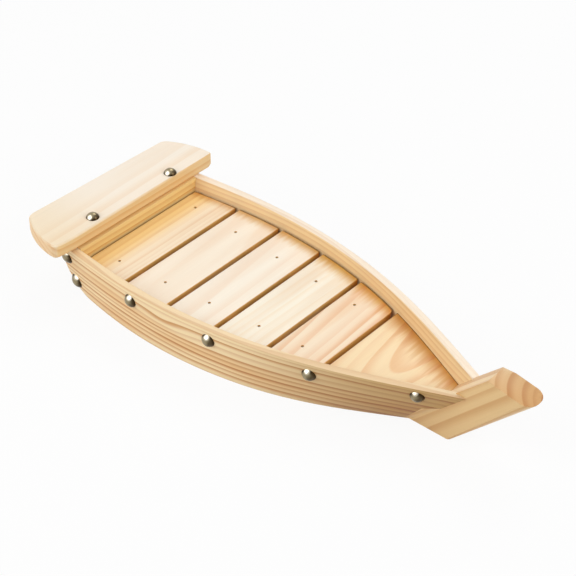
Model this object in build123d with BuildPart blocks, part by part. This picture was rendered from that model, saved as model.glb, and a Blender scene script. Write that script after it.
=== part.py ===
"""Boat-shaped sushi serving tray of pine, with a lift-out slatted grating.

+X runs to the bow, +Y to port and +Z up. The origin lies on the table, below the middle of the tray's length.
All sizes are in millimetres.
"""

import os
from math import asin, atan, cos, degrees, pi, radians, sin

from build123d import *

# Overall size and planking
overall_length = 427.5
rim_height = 44.0
plank_thickness = 6.5
rim_bevel = 0.6
stern_heel_radius = 26.0

# Hull lines, drawn to the inside of the planks: half-breadths and slopes at the rim and at the bottom edge
lines_overrun = 13.0
beam_from_stern = 107.0
shoulder_from_stern = 203.5
rim_aft_half = 60.3
rim_beam_half = 69.4
rim_shoulder_half = 57.1
bottom_aft_half = 50.0
bottom_beam_half = 66.6
bottom_shoulder_half = 50.4
bow_half = 2.0
rim_bow_from_stem = 59.4
bottom_bow_from_stem = 11.9
rim_aft_slope = 0.13
rim_bow_slope = -0.44
bottom_aft_slope = 0.25
bottom_bow_slope = -0.56
line_samples = 9

# Stem: a leaning block, broader at the foot, whose front corners round off towards the head
stem_width = 21.0
stem_foot_width = 25.0
stem_foot_length = 42.2
stem_height = 68.4
stem_lean = 1.0
stem_head_slope = -0.18
stem_foot_round = 3.0
stem_head_round = 9.0
stem_corner_flats = 6

# Rubbed-off port corner at the rear of the stem's head
crown_trim_across = 6.5
crown_trim_along = 9.0
crown_trim_down = 3.0

# Front end of a plank: the upper half reaches further along the stem than the lower half
plank_tip_from_stem = 52.9
plank_heel_from_stem = 3.6
plank_step_rise = 24.0
plank_step_run = 13.8
plank_step_drop = 5.5

# Transom and stern board
transom_thickness = 18.5
board_thickness = 11.0
board_depth = 45.0
board_setback = 4.75
board_skew = 2.2
board_front_half = 85.8
board_end_taper = 14.7
board_end_bow = 4.0
board_rear_radius = 9.0
board_front_radius = 4.0
board_top_bevel = 1.0
board_bottom_bevel = 2.0

# Deck: slats of the grating and the fixed bow deck lie at one height
deck_below_rim = 11.5
slat_thickness = 6.5
slat_width = 40.0
slat_gap = 4.0
slat_count = 5
slat_aft_clearance = 1.2
slat_end_clearance = 1.3
slat_corner_radius = 6.0
slat_edge_bevel = 0.4

# Battens under the slats, on the two converging lines of brads
batten_width = 12.0
batten_thickness = 9.0
batten_setback = 2.5
brad_aft_margin = 19.2
brad_front_margin = 20.4

# Cross pieces that carry the grating and the bow deck
bearer_width = 12.0
bearer_table_gap = 5.0
bow_step_width = 10.0

# Dome tacks and brads
tack_head_diameter = 10.5
tack_head_height = 3.8
tack_shank_width = 1.8
tack_point_cover = 1.0
tack_seat_gap = 0.08
long_tack_length = 18.0
side_tacks_from_stern = (81.5, 156.5, 236.0)
bow_tack_from_stem = 19.9
side_tack_below_rim = 10.5
bow_tack_below_rim = 8.5
high_tack_from_stern = 6.5
high_tack_below_rim = 10.0
low_tack_from_stern = 12.5
low_tack_height = 11.5
board_tack_from_front = 5.3
board_tack_offset = 2.5
board_tack_half = 41.2
brad_head_diameter = 2.4
brad_head_height = 0.8
brad_head_sides = 8
brad_shank_width = 1.2
brad_length = 13.0
brad_set = 0.4
nail_hole_clearance = 0.05

# Brads driven by hand: how far each lies from the middle of its slat, from the stern forward
port_brad_shifts = (-4.5, -2.0, 0.0, -2.0, -6.0)
starboard_brad_shifts = (0.0, 1.0, -1.0, 1.0, -4.0)

# Heights
deck_height = rim_height - deck_below_rim
slat_bottom = deck_height - slat_thickness
bearer_top = slat_bottom - batten_thickness
brad_head_top = deck_height - brad_set

# Plan of the stern board about its own middle: bowed ends that draw in to the rear, and rounded corners
board_front = board_depth / 2
board_rear_half = board_front_half - board_end_taper
with BuildSketch() as board_plan:
    with BuildLine():
        Line((board_front, -board_front_half), (board_front, board_front_half))
        SagittaArc((board_front, board_front_half), (-board_front, board_rear_half), -board_end_bow)
        Line((-board_front, board_rear_half), (-board_front, -board_rear_half))
        SagittaArc((-board_front, -board_rear_half), (board_front, -board_front_half), -board_end_bow)
    make_face()
    fillet(board_plan.vertices().group_by(Axis.X)[0], board_rear_radius)
    fillet(board_plan.vertices().group_by(Axis.X)[-1], board_front_radius)

# Places from the stern forward: a rear corner of the board, set askew, is the aftmost point of the tray
board_reach = board_plan.sketch.rotate(Axis.Z, -board_skew).bounding_box()
board_middle_x = -overall_length / 2 - board_reach.min.X
board_middle_y = -board_reach.center().Y
board_turn = -radians(board_skew)
board_along = (cos(board_turn), sin(board_turn), 0)
board_plane = Plane((board_middle_x, board_middle_y, rim_height), x_dir=board_along)
transom_front_x = board_middle_x + board_front + board_setback
stern_x = transom_front_x - transom_thickness
lines_aft_x = stern_x - lines_overrun
slat_pitch = slat_width + slat_gap
slat_aft_x = transom_front_x + slat_aft_clearance
slat_front_x = slat_aft_x + slat_count * slat_pitch - slat_gap
slat_middles = [slat_aft_x + slat_width / 2 + slat_pitch * index for index in range(slat_count)]
bow_deck_aft_x = slat_front_x + slat_gap
bow_step_x = slat_front_x + slat_gap / 2

# The stem's side view: its tip is the foremost point of the tray
lean_angle = atan(stem_lean)
head_angle = atan(stem_head_slope)
tip_x = overall_length / 2
head_run = stem_foot_length - stem_height / stem_lean
tip_height = stem_lean * (stem_height + stem_head_slope * head_run) / (stem_lean - stem_head_slope)
stem_front_x = tip_x - tip_height / stem_lean
stem_rear_x = stem_front_x - stem_foot_length
crown_x = stem_rear_x + stem_height / stem_lean
head_along = Vector(cos(head_angle), 0, sin(head_angle))
lean_along = Vector(cos(lean_angle), 0, sin(lean_angle))
head_plane = Plane((crown_x, 0, stem_height), x_dir=head_along, z_dir=(-head_along.Z, 0, head_along.X))
head_length = (tip_x - crown_x) / cos(head_angle)

# Side tacks, from the stern forward: place along the tray and height
side_tack_places = [(stern_x + reach, rim_height - side_tack_below_rim) for reach in side_tacks_from_stern]
bow_tack_place = (stem_rear_x + bow_tack_from_stem, rim_height - bow_tack_below_rim)

# The stepped line where a plank ends on the stem, from the rim down to the table
plank_tip_x = stem_rear_x + plank_tip_from_stem
plank_heel_x = stem_rear_x + plank_heel_from_stem
step_top = (plank_tip_x - (rim_height - plank_step_rise) / stem_lean, plank_step_rise)
step_foot = (step_top[0] - plank_step_run, plank_step_rise - plank_step_drop)
plank_outline = [
    (stern_x, rim_height),
    (stern_x, 0),
    (plank_heel_x, 0),
    step_foot,
    step_top,
    (plank_tip_x, rim_height),
]

# Hull lines: height, stations and end slopes of the bottom edge and of the rim
beam_x = stern_x + beam_from_stern
shoulder_x = stern_x + shoulder_from_stern
bottom_stations = [
    (lines_aft_x, bottom_aft_half),
    (beam_x, bottom_beam_half),
    (shoulder_x, bottom_shoulder_half),
    (stem_rear_x + bottom_bow_from_stem, bow_half),
]
rim_stations = [
    (lines_aft_x, rim_aft_half),
    (beam_x, rim_beam_half),
    (shoulder_x, rim_shoulder_half),
    (stem_rear_x + rim_bow_from_stem, bow_half),
]
hull_lines = [
    (0, bottom_stations, ((1, bottom_aft_slope), (1, bottom_bow_slope))),
    (rim_height, rim_stations, ((1, rim_aft_slope), (1, rim_bow_slope))),
]
cut_reach = 2 * rim_beam_half


def line_points(stations, slopes, outset):
    """Points and end tangents of a hull line that is moved out by outset, or in where it is negative."""
    line = Spline(*stations, tangents=slopes, mode=Mode.PRIVATE)
    points = []
    for step in range(line_samples):
        share = step / (line_samples - 1)
        along = line.tangent_at(share)
        points.append(line.position_at(share) + Vector(-along.Y, along.X) * outset)
    return points, (line.tangent_at(0), line.tangent_at(1))


def hull_volume(outset):
    """Solid between the hull lines of the two sides, from the table to the rim."""
    with BuildPart() as volume:
        for height, stations, slopes in hull_lines:
            points, tangents = line_points(stations, slopes, outset)
            with BuildSketch(Plane.XY.offset(height)):
                with BuildLine():
                    Spline(*points, tangents=tangents)
                    mirror(about=Plane.XZ)
                    for end in (points[0], points[-1]):
                        Line((end.X, end.Y), (end.X, -end.Y))
                make_face()
        loft(ruled=True)
    return volume.part


def side_view(outline):
    """Prism of a closed outline in the plane of X and Z, right across the hull."""
    with BuildPart() as prism:
        with BuildSketch(Plane.XZ):
            with BuildLine():
                Polyline(*outline, close=True)
            make_face()
        extrude(amount=cut_reach, both=True)
    return prism.part


def bar_outline(aft_x, width, bottom, top):
    """Outline of a square bar across the hull, seen from the side."""
    return [(aft_x, bottom), (aft_x + width, bottom), (aft_x + width, top), (aft_x, top)]


def slat_outline(middle_x):
    """Outline of a slat, seen from the side, with its long top edges bevelled."""
    aft_x = middle_x - slat_width / 2
    front_x = middle_x + slat_width / 2
    shoulder = deck_height - slat_edge_bevel
    return [
        (aft_x, slat_bottom),
        (front_x, slat_bottom),
        (front_x, shoulder),
        (front_x - slat_edge_bevel, deck_height),
        (aft_x + slat_edge_bevel, deck_height),
        (aft_x, shoulder),
    ]


def fitted_piece(label, space, outline):
    """Piece with the given side outline, cut to fit a hull space."""
    prism = side_view(outline)
    with BuildPart() as piece:
        add(space)
        add(prism, mode=Mode.INTERSECT)
    piece.part.label = label
    return piece


def seat_on(solid, x, z):
    """Plane on the port face of a solid at x and z, with its normal pointing out."""
    probe = Axis((x, cut_reach, z), (0, -1, 0))
    hits = solid.find_intersection_points(probe)
    point, normal = max(hits, key=lambda hit: hit[0].Y)
    outward = normal if normal.Y > 0 else -normal
    return Plane(origin=point, z_dir=outward)


def dome_tack(seat, length):
    """Dome tack whose head stands on the seat plane and whose square shank goes in below it."""
    foot = seat.offset(tack_seat_gap)
    head_radius = tack_head_diameter / 2
    dome_radius = (head_radius**2 + tack_head_height**2) / (2 * tack_head_height)
    dome_angle = degrees(asin(head_radius / dome_radius))
    profile = Plane(origin=foot.origin, x_dir=foot.x_dir, z_dir=-foot.y_dir)
    with BuildPart() as tack:
        with BuildSketch(profile):
            with BuildLine():
                dome = JernArc((0, tack_head_height), (1, 0), dome_radius, -dome_angle)
                Polyline(dome @ 1, (0, 0), dome @ 0)
            make_face()
        revolve(axis=Axis(foot.origin, foot.z_dir))
        with BuildSketch(foot):
            Rectangle(tack_shank_width, tack_shank_width)
        extrude(amount=-length)
    return tack.part


def shank_hole(seat, length):
    """Drill for the shank of a dome tack, from above the seat plane down past the tack's point."""
    hole_width = tack_shank_width + 2 * nail_hole_clearance
    with BuildPart() as drill:
        with BuildSketch(seat.offset(tack_head_height)):
            Rectangle(hole_width, hole_width)
        extrude(amount=-(tack_head_height + length + nail_hole_clearance))
    return drill.part


def brad_solid(x, y, clearance, head_top):
    """One brad at x and y, grown by a clearance where it is used as a drill."""
    head_radius = brad_head_diameter / 2 + clearance
    shank_width = brad_shank_width + 2 * clearance
    with BuildPart() as brad:
        with BuildSketch(Plane((x, y, head_top))):
            RegularPolygon(head_radius, brad_head_sides)
        extrude(amount=-(brad_head_height + head_top - brad_head_top))
        with BuildSketch(Plane((x, y, brad_head_top))):
            Rectangle(shank_width, shank_width)
        extrude(amount=-(brad_length + clearance))
    return brad.part


def stem_section(plane, rear, length, width, corner_radius):
    """Cross-section of the stem on a plane, with its front corners worked round in narrow flats."""
    centre_x = rear + length - corner_radius
    centre_y = width / 2 - corner_radius
    turns = [pi / 2 * step / stem_corner_flats for step in range(stem_corner_flats + 1)]
    corner = [(centre_x + corner_radius * sin(turn), centre_y + corner_radius * cos(turn)) for turn in turns]
    port_side = [(rear, width / 2), *corner]
    starboard_side = [(x, -y) for x, y in reversed(port_side)]
    with BuildSketch(plane) as section:
        with BuildLine():
            Polyline(*port_side, *starboard_side, close=True)
        make_face()
    return section.sketch


def both_sides(solids):
    """Port solids followed by their mirror images on the starboard side."""
    return [*solids, *(mirror(solid, about=Plane.XZ, mode=Mode.PRIVATE) for solid in solids)]


inside = hull_volume(0)
outside = hull_volume(plank_thickness)
grating_space = hull_volume(-slat_end_clearance)

# Tack seats on the port side and on the stern board
side_tack_length = plank_thickness - tack_point_cover
side_seats = [seat_on(outside, x, z) for x, z in [*side_tack_places, bow_tack_place]]
transom_seats = [
    seat_on(outside, stern_x + high_tack_from_stern, rim_height - high_tack_below_rim),
    seat_on(outside, stern_x + low_tack_from_stern, low_tack_height),
]
board_tack_x = board_front - board_tack_from_front
board_seats = [
    Plane(board_plane.from_local_coords((board_tack_x, board_tack_offset + reach, board_thickness)))
    for reach in (board_tack_half, -board_tack_half)
]
side_drills = [shank_hole(seat, side_tack_length) for seat in side_seats]
transom_drills = [shank_hole(seat, long_tack_length) for seat in transom_seats]
board_drills = [shank_hole(seat, long_tack_length) for seat in board_seats]

# Side outline of the planking, with the rounded heel at the stern
with BuildPart() as planking_view:
    with BuildSketch(Plane.XZ) as planking_sketch:
        with BuildLine():
            Polyline(*plank_outline, close=True)
        make_face()
        heel = planking_sketch.vertices().sort_by_distance(Vector(stern_x, 0, 0))[0]
        fillet(heel, stern_heel_radius)
    extrude(amount=cut_reach, both=True)

# Side planks, bent round the hull and drilled for the tacks
with BuildPart() as plank_blank:
    add(outside)
    add(inside, mode=Mode.SUBTRACT)
    add(planking_view.part, mode=Mode.INTERSECT)
    split(bisect_by=Plane.XZ, keep=Keep.BOTTOM)

with BuildPart() as port_plank:
    add(plank_blank.part)
    rim_face = port_plank.faces().sort_by(Axis.Z)[-1]
    chamfer(rim_face.edges().sort_by(SortBy.LENGTH)[-2:], rim_bevel)
    for drill in side_drills + transom_drills:
        add(drill, mode=Mode.SUBTRACT)
port_plank.part.label = "port_plank"

with BuildPart() as starboard_plank:
    mirror(port_plank.part, about=Plane.XZ)
starboard_plank.part.label = "starboard_plank"

# Transom between the planks, with the planks' rounded heel and the tack holes
with BuildPart() as transom:
    add(inside)
    add(planking_view.part, mode=Mode.INTERSECT)
    split(bisect_by=Plane.YZ.offset(transom_front_x), keep=Keep.BOTTOM)
    for drill in both_sides(transom_drills) + board_drills:
        add(drill, mode=Mode.SUBTRACT)
transom.part.label = "transom"

# Stern board on the rim, with eased edges
with BuildPart() as stern_board:
    with BuildSketch(board_plane):
        add(board_plan.sketch)
    extrude(amount=board_thickness)
    chamfer(stern_board.faces().sort_by(Axis.Z)[-1].edges(), board_top_bevel)
    chamfer(stern_board.faces().sort_by(Axis.Z)[0].edges(), board_bottom_bevel)
    for drill in board_drills:
        add(drill, mode=Mode.SUBTRACT)
stern_board.part.label = "stern_board"

# Rebates that let the plank ends into the stem, open to the outside
with BuildPart() as rebates:
    add(planking_view.part)
    add(inside, mode=Mode.SUBTRACT)

# Stem between its foot and its head, with cheeks that carry on from the planks and one corner rubbed off
cheek_outline = [
    (plank_heel_x, 0),
    step_foot,
    step_top,
    (stem_front_x, plank_step_rise),
    (stem_front_x, 0),
]
cheeks = fitted_piece("cheeks", outside, cheek_outline)
foot_section = stem_section(Plane.XY, stem_rear_x, stem_foot_length, stem_foot_width, stem_foot_round)
head_section = stem_section(head_plane, 0, head_length, stem_width, stem_head_round)
crown_corner = Vector(crown_x, stem_width / 2, stem_height)
trim_inboard = crown_corner - Vector(0, crown_trim_across, 0)
trim_front = crown_corner + head_along * crown_trim_along
trim_low = crown_corner - lean_along * crown_trim_down
trim_normal = (trim_front - trim_inboard).cross(trim_low - trim_inboard)
with BuildPart() as stem:
    loft([foot_section, head_section], ruled=True)
    split(bisect_by=Plane(trim_inboard, z_dir=trim_normal), keep=Keep.BOTTOM)
    add(cheeks.part)
    add(rebates.part, mode=Mode.SUBTRACT)
stem.part.label = "stem"

# Bow deck, bevelled to sit on the stem's rear face
bow_deck_outline = [
    (bow_deck_aft_x, slat_bottom),
    (stem_rear_x + slat_bottom / stem_lean, slat_bottom),
    (stem_rear_x + deck_height / stem_lean, deck_height),
    (bow_deck_aft_x, deck_height),
]
bow_deck = fitted_piece("bow_deck", inside, bow_deck_outline)

# Cross pieces between the planks: a ledge on the transom, two bearers in line with tacks, a bow bearer
cross_pieces = []
for label, aft_x in (
    ("transom_ledge", transom_front_x),
    ("bearer_aft", side_tack_places[0][0] - bearer_width / 2),
    ("bearer_middle", side_tack_places[1][0] - bearer_width / 2),
):
    bar = bar_outline(aft_x, bearer_width, bearer_table_gap, bearer_top)
    cross_pieces.append(fitted_piece(label, inside, bar))
bow_bearer_outline = [
    (bow_step_x - bearer_width, bearer_table_gap),
    (bow_step_x + bow_step_width, bearer_table_gap),
    (bow_step_x + bow_step_width, slat_bottom),
    (bow_step_x, slat_bottom),
    (bow_step_x, bearer_top),
    (bow_step_x - bearer_width, bearer_top),
]
cross_pieces.append(fitted_piece("bow_bearer", inside, bow_bearer_outline))

# Two lines of brads, each between set distances from the first and last slat's ends
brad_aft_half = seat_on(grating_space, slat_middles[0], deck_height).origin.Y - brad_aft_margin
brad_front_half = seat_on(grating_space, slat_middles[-1], deck_height).origin.Y - brad_front_margin
brad_slope = (brad_front_half - brad_aft_half) / (slat_middles[-1] - slat_middles[0])
brad_rows = []
for side, shifts in ((1, port_brad_shifts), (-1, starboard_brad_shifts)):
    row_x = [middle_x + shift for middle_x, shift in zip(slat_middles, shifts)]
    brad_rows.append([(x, side * (brad_aft_half + brad_slope * (x - slat_middles[0]))) for x in row_x])
drill_rows = [[brad_solid(x, y, nail_hole_clearance, deck_height) for x, y in row] for row in brad_rows]

# Slats of the grating, cut to the hull with a clearance
slats = []
for index, middle_x in enumerate(slat_middles):
    blank = fitted_piece("blank", grating_space, slat_outline(middle_x))
    with BuildPart() as slat:
        add(blank.part)
        if index == slat_count - 1:
            front = slat.faces().sort_by(Axis.X)[-1]
            fillet(front.edges().filter_by(Axis.Y, reverse=True), slat_corner_radius)
        for drills in drill_rows:
            add(drills[index], mode=Mode.SUBTRACT)
    slat.part.label = f"slat_{index + 1}"
    slats.append(slat)

# Battens on the lines of brads
batten_aft_x = slat_aft_x + batten_setback
batten_front_x = slat_front_x - batten_setback
batten_middle_x = (batten_aft_x + batten_front_x) / 2
batten_middle_y = brad_aft_half + brad_slope * (batten_middle_x - slat_middles[0])
batten_turn = atan(brad_slope)
batten_length = (batten_front_x - batten_aft_x) / cos(batten_turn)
battens = []
for label, side, drills in (("batten_port", 1, drill_rows[0]), ("batten_starboard", -1, drill_rows[1])):
    batten_along = (cos(batten_turn), side * sin(batten_turn), 0)
    with BuildPart() as batten:
        with BuildSketch(Plane((batten_middle_x, side * batten_middle_y, bearer_top), x_dir=batten_along)):
            Rectangle(batten_length, batten_width)
        extrude(amount=batten_thickness)
        for drill in drills:
            add(drill, mode=Mode.SUBTRACT)
    batten.part.label = label
    battens.append(batten)

# Tacks and brads, each kind in one group
fastener_groups = []
for label, solids in (
    ("stern_board_tacks", [dome_tack(seat, long_tack_length) for seat in board_seats]),
    ("transom_tacks", both_sides([dome_tack(seat, long_tack_length) for seat in transom_seats])),
    ("side_tacks", both_sides([dome_tack(seat, side_tack_length) for seat in side_seats])),
    ("slat_brads", [brad_solid(x, y, 0, brad_head_top) for row in brad_rows for x, y in row]),
):
    with BuildPart() as group:
        add(solids)
    group.part.label = label
    fastener_groups.append(group)

os.makedirs("parts", exist_ok=True)
pieces = [
    port_plank,
    starboard_plank,
    transom,
    stern_board,
    stem,
    bow_deck,
    *cross_pieces,
    *slats,
    *battens,
    *fastener_groups,
]
for piece in pieces:
    export_step(piece.part, f"parts/{piece.part.label}.step")
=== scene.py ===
"""Boat-shaped sushi tray of pale pine: its planed wood, dome tacks and brads, on a pale studio floor."""

import logging
import math
from collections.abc import Iterator, Mapping
from dataclasses import dataclass, field
from enum import Enum
from typing import Any, ClassVar

import bmesh
import bpy
import numpy as np
from mathutils import Matrix, Vector


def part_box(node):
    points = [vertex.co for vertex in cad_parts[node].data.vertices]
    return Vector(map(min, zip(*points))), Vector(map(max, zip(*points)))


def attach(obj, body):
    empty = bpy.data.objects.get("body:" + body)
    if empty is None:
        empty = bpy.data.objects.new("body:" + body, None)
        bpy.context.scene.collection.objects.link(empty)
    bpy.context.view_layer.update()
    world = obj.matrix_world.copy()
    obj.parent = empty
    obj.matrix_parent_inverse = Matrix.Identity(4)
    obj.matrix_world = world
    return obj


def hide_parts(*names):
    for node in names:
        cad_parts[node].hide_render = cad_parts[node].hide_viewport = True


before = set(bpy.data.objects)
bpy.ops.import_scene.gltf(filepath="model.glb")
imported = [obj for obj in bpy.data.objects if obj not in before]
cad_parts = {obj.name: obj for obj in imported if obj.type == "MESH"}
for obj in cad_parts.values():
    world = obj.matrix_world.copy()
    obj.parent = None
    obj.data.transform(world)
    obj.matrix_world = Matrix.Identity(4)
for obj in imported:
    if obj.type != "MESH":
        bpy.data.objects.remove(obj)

LOG = logging.getLogger("sushi_tray")
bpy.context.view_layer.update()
MM = 1000.0
SAME_PLACE = 1e-6

Colour = tuple[float, float, float, float]
Triple = tuple[float, float, float]
Span = tuple[float, float]


def paint(red: int, green: int, blue: int) -> Colour:
    """Turns display values from 0 to 255 into the linear colour that shows them.

    Args:
        red: Display red.
        green: Display green.
        blue: Display blue.

    Returns:
        The linear colour, opaque.
    """
    shares = (value / 255.0 for value in (red, green, blue))
    linear = [s / 12.92 if s <= 0.04045 else ((s + 0.055) / 1.055) ** 2.4 for s in shares]
    return (linear[0], linear[1], linear[2], 1.0)


class Term:
    """A node socket that takes part in Python arithmetic."""

    def __init__(self, nodes: "Nodes", socket: bpy.types.NodeSocket) -> None:
        """Keeps the socket and the tree that its arithmetic goes into."""
        self.nodes = nodes
        self.socket = socket

    def __add__(self, other: "Term | float") -> "Term":
        """Adds a socket or a number."""
        return self.nodes.math("ADD", self, other)

    def __radd__(self, other: float) -> "Term":
        """Adds to a number."""
        return self.nodes.math("ADD", other, self)

    def __sub__(self, other: "Term | float") -> "Term":
        """Takes away a socket or a number."""
        return self.nodes.math("SUBTRACT", self, other)

    def __rsub__(self, other: float) -> "Term":
        """Takes this socket from a number."""
        return self.nodes.math("SUBTRACT", other, self)

    def __mul__(self, other: "Term | float") -> "Term":
        """Multiplies by a socket or a number."""
        return self.nodes.math("MULTIPLY", self, other)

    def __rmul__(self, other: float) -> "Term":
        """Multiplies a number."""
        return self.nodes.math("MULTIPLY", other, self)

    def __truediv__(self, other: "Term | float") -> "Term":
        """Divides by a socket or a number."""
        return self.nodes.math("DIVIDE", self, other)

    def __pow__(self, other: "Term | float") -> "Term":
        """Raises to a power."""
        return self.nodes.math("POWER", self, other)

    def __abs__(self) -> "Term":
        """Drops the sign."""
        return self.nodes.math("ABSOLUTE", self)

    def fraction(self) -> "Term":
        """Keeps what is past the whole number."""
        return self.nodes.math("FRACT", self)

    def whole(self) -> "Term":
        """Rounds down to the whole number."""
        return self.nodes.math("FLOOR", self)

    def root(self) -> "Term":
        """Takes the square root."""
        return self.nodes.math("SQRT", self)

    def clamped(self) -> "Term":
        """Holds the value between 0 and 1."""
        return self.nodes.math("ADD", self, 0.0, clamp=True)

    def larger(self, other: "Term | float") -> "Term":
        """Keeps the larger of two values."""
        return self.nodes.math("MAXIMUM", self, other)

    def smaller(self, other: "Term | float") -> "Term":
        """Keeps the smaller of two values."""
        return self.nodes.math("MINIMUM", self, other)

    def smooth(self, low: float, high: float) -> "Term":
        """Rises softly from 0 at low to 1 at high.

        Args:
            low: The value that gives 0.
            high: The value that gives 1.

        Returns:
            The eased share.
        """
        made = self.nodes.node(
            "ShaderNodeMapRange",
            {"interpolation_type": "SMOOTHSTEP"},
            {"Value": self, "From Min": low, "From Max": high},
        )
        return self.nodes.out(made, "Result")

    def bell(self, middle: float, width: float) -> "Term":
        """Gives 1 at the middle, falling off on both sides over about the width."""
        return self.nodes.math("EXPONENT", ((self - middle) / width) ** 2.0 * -1.0)


class Nodes:
    """Adds nodes to one shader or geometry tree."""

    def __init__(self, tree: bpy.types.NodeTree) -> None:
        """Keeps the tree."""
        self.tree = tree

    def node(
        self,
        kind: str,
        settings: Mapping[str, Any] | None = None,
        inputs: Mapping[str | int, Any] | None = None,
    ) -> bpy.types.Node:
        """Adds one node, with its settings first and then its sockets.

        Args:
            kind: The node's type.
            settings: Properties of the node.
            inputs: Values or terms by socket name or number.

        Returns:
            The node.
        """
        made = self.tree.nodes.new(kind)
        for key, value in (settings or {}).items():
            setattr(made, key, value)
        for key, value in (inputs or {}).items():
            if isinstance(value, Term):
                self.tree.links.new(value.socket, made.inputs[key])
            else:
                made.inputs[key].default_value = value
        return made

    def out(self, made: bpy.types.Node, socket: str | int = 0) -> Term:
        """Wraps one output of a node."""
        return Term(self, made.outputs[socket])

    def math(self, operation: str, *values: "Term | float", clamp: bool = False) -> Term:
        """Adds a Math node.

        Args:
            operation: The node's operation.
            values: Its one or two values.
            clamp: Whether the result stays between 0 and 1.

        Returns:
            The result.
        """
        settings = {"operation": operation, "use_clamp": clamp}
        return self.out(self.node("ShaderNodeMath", settings, dict(enumerate(values))))

    def dot(self, vector: Term, axis: Triple) -> Term:
        """Measures a vector along an axis."""
        made = self.node("ShaderNodeVectorMath", {"operation": "DOT_PRODUCT"}, {0: vector, 1: axis})
        return self.out(made, "Value")

    def vector(self, x: "Term | float", y: "Term | float", z: "Term | float") -> Term:
        """Joins three values into a vector."""
        return self.out(self.node("ShaderNodeCombineXYZ", None, {0: x, 1: y, 2: z}))

    def mix(
        self, share: "Term | float", first: "Term | Colour", second: "Term | Colour", blend: str = "MIX"
    ) -> Term:
        """Blends two colours.

        Args:
            share: How much of the second colour shows.
            first: The colour at a share of 0.
            second: The colour that is laid over it.
            blend: The way it is laid over.

        Returns:
            The blended colour.
        """
        settings = {"data_type": "RGBA", "blend_type": blend}
        return self.out(self.node("ShaderNodeMix", settings, {0: share, 6: first, 7: second}), 2)

    def tinted(self, share: "Term | float", under: Term, tint: "Term | Colour") -> Term:
        """Lays a tint over a colour as a thin stain does.

        Args:
            share: How much of the stain there is.
            under: The colour below.
            tint: The colour that the stain gives to white.

        Returns:
            The stained colour.
        """
        return self.mix(share, under, self.mix(1.0, under, tint, "MULTIPLY"))

    def noise(self, vector: Term, detail: float = 2.0, roughness: float = 0.5) -> Term:
        """Gives soft noise from 0 to 1, one unit of the vector to a blotch."""
        inputs = {"Vector": vector, "Scale": 1.0, "Detail": detail, "Roughness": roughness}
        return self.out(self.node("ShaderNodeTexNoise", None, inputs))

    def curve(self, shares: np.ndarray, at: Term) -> Term:
        """Works out a polynomial.

        Args:
            shares: Its factors, the highest power first.
            at: Where it is worked out.

        Returns:
            Its value there.
        """
        total = at * float(shares[0])
        for share in shares[1:-1]:
            total = (total + float(share)) * at
        return total + float(shares[-1])

    def chance(self, number: Term) -> Term:
        """Gives a fixed random share for each whole number."""
        return self.out(self.node("ShaderNodeTexWhiteNoise", {"noise_dimensions": "1D"}, {"W": number}))


def emptied_nodes(owner: bpy.types.Material | bpy.types.World) -> Nodes:
    """Gives a material or the surroundings an empty node tree."""
    owner.use_nodes = True
    owner.node_tree.nodes.clear()
    return Nodes(owner.node_tree)


def surface_nodes(name: str) -> tuple[bpy.types.Material, Nodes, bpy.types.Node]:
    """Makes a material with an empty Principled surface.

    Args:
        name: The material's name.

    Returns:
        The material, its nodes and its Principled shader.
    """
    material = bpy.data.materials.new(name)
    nodes = emptied_nodes(material)
    shader = nodes.node("ShaderNodeBsdfPrincipled")
    nodes.node("ShaderNodeOutputMaterial", None, {"Surface": nodes.out(shader)})
    return material, nodes, shader


class Grain(Enum):
    """The way that the fibres of a piece run: along it, across its face and through it."""

    LENGTHWISE = ((1.0, 0.0, 0.0), (0.0, 0.0, 1.0), (0.0, 1.0, 0.0))
    CROSSWISE = ((0.0, 1.0, 0.0), (1.0, 0.0, 0.0), (0.0, 0.0, 1.0))
    RAKED = ((0.7071, 0.0, 0.7071), (-0.7071, 0.0, 0.7071), (0.0, 1.0, 0.0))

    @property
    def axes(self) -> tuple[Triple, Triple, Triple]:
        """The three axes."""
        return self.value


@dataclass(frozen=True)
class Swirl:
    """A flame in the grain, where the rings rise round a buried branch; sizes in millimetres."""

    along: float
    across: float
    length: float
    width: float
    rise: float


@dataclass(frozen=True)
class Band:
    """A strip of yellower colour along one side of a board; sizes in millimetres across the board."""

    start: float
    end: float
    colour: Colour


@dataclass(frozen=True)
class Spot:
    """A point of a piece: along the grain, across the face and through it; millimetres from the middle."""

    along: Term
    across: Term
    depth: Term

    def noise(self, length: float, width: float, detail: float, roughness: float = 0.5) -> Term:
        """Gives noise that is drawn out along the grain.

        Args:
            length: The length of a blotch.
            width: Its width.
            detail: How many finer layers it has.
            roughness: How strong they are.

        Returns:
            The noise, from 0 to 1.
        """
        nodes = self.along.nodes
        drawn = nodes.vector(self.along / length, self.across / width, self.depth / width)
        return nodes.noise(drawn, detail, roughness)


@dataclass(frozen=True)
class Fade:
    """A slow change of tone along the fibres; places in millimetres from the piece's middle."""

    start: float
    end: float
    tint: Colour

    def laid(self, at: Spot, under: Term) -> Term:
        """Lays the tint over a colour."""
        return under.nodes.tinted(at.along.smooth(self.start, self.end), under, self.tint)


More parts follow.
